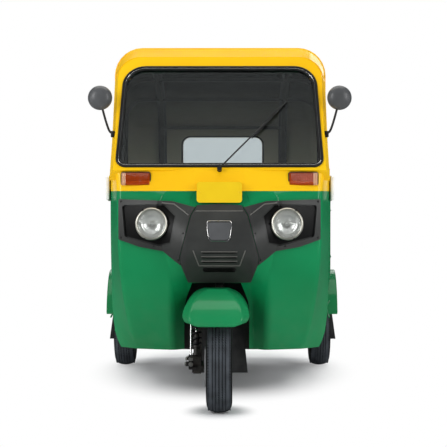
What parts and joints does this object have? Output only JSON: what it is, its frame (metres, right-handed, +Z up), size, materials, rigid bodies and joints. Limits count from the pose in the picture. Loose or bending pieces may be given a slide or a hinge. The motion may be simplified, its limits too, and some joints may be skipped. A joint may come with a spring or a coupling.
{
  "type": "auto rickshaw",
  "caption": "Three-wheeled auto rickshaw in green and yellow: glazed cab, open doorways, bench seat, vinyl canopy, steered front wheel.",
  "frame": {"origin": "on the floor below the middle of the whole vehicle's bounding box", "axes": "-Y is ahead, +Z up, +X towards the vehicle's own left side (right when seen from ahead)"},
  "size_m": [1.352, 2.6398, 1.71],
  "materials": {
    "green_paint": "gloss",
    "yellow_paint": "gloss",
    "black_plastic": "satin",
    "lamp_chrome": "polished",
    "clear_lens": "polished",
    "amber_lens": "gloss",
    "red_lens": "gloss",
    "plate_yellow": "gloss",
    "screen_glass": "polished",
    "black_rubber": "matte",
    "black_steel": "satin",
    "canopy_vinyl": "matte",
    "clear_vinyl": "gloss",
    "seat_vinyl": "satin",
    "bare_aluminium": "cast",
    "dark_steel": "satin",
    "silver_paint": "satin",
    "tyre_rubber": "matte"
  },
  "bodies": {
    "chassis": {"front_cowl": "green_paint", "fascia_center": "black_plastic", "fascia_sides": "black_plastic", "headlamp_shells": "lamp_chrome", "headlamp_lenses": "clear_lens", "turn_signals": "amber_lens", "name_plate": "plate_yellow", "screen_surround": "yellow_paint", "windscreen_gasket": "black_rubber", "windscreen": "screen_glass", "wiper": "black_steel", "canopy": "canopy_vinyl", "rear_window": "clear_vinyl", "canopy_frame": "black_steel", "side_panel_left": "green_paint", "side_panel_right": "green_paint", "rear_panel": "green_paint", "door_hinges": "black_steel", "tail_lamps": "red_lens", "rear_bumper": "black_steel", "floor_pan": "black_steel", "chassis_frame": "black_steel", "steering_head": "black_steel", "dashboard": "black_plastic", "partition": "green_paint", "driver_seat_base": "black_steel", "driver_seat": "seat_vinyl", "driver_backrest": "seat_vinyl", "seat_box": "black_steel", "passenger_seat": "seat_vinyl", "passenger_backrest": "seat_vinyl", "engine": "bare_aluminium", "rear_arms": "dark_steel", "drive_shafts": "dark_steel", "rear_shocks": "dark_steel", "rear_mudflaps": "black_rubber", "front_mudflap": "black_rubber", "mirrors": "black_plastic"},
    "steering": {"steering_column": "black_steel", "handlebar": "black_steel", "front_arm": "black_steel", "front_shock": "dark_steel", "front_fender": "green_paint"},
    "front_wheel": {"front_rim": "silver_paint", "front_tyre": "tyre_rubber"},
    "rear_left_wheel": {"rear_left_rim": "silver_paint", "rear_left_tyre": "tyre_rubber"},
    "rear_right_wheel": {"rear_right_rim": "silver_paint", "rear_right_tyre": "tyre_rubber"},
    "engine_door": {"engine_door": "green_paint"}
  },
  "joints": [
    {"name": "steer", "type": "hinge", "parent": "chassis", "child": "steering", "pos_m": [0, -1.0775, 0.207], "axis": [0, 0.4226, 0.9063], "range_deg": [-40, 40]},
    {"name": "front_spin", "type": "hinge", "parent": "steering", "child": "front_wheel", "pos_m": [0, -1.0775, 0.207], "axis": [1, 0, 0], "continuous": true},
    {"name": "rear_left_spin", "type": "hinge", "parent": "chassis", "child": "rear_left_wheel", "pos_m": [0.5615, 0.9225, 0.207], "axis": [1, 0, 0], "continuous": true},
    {"name": "rear_right_spin", "type": "hinge", "parent": "chassis", "child": "rear_right_wheel", "pos_m": [-0.5615, 0.9225, 0.207], "axis": [1, 0, 0], "continuous": true},
    {"name": "engine_door_hinge", "type": "hinge", "parent": "chassis", "child": "engine_door", "pos_m": [0, 1.2965, 0.862], "axis": [1, 0, 0], "range_deg": [0, 75]}
  ]
}
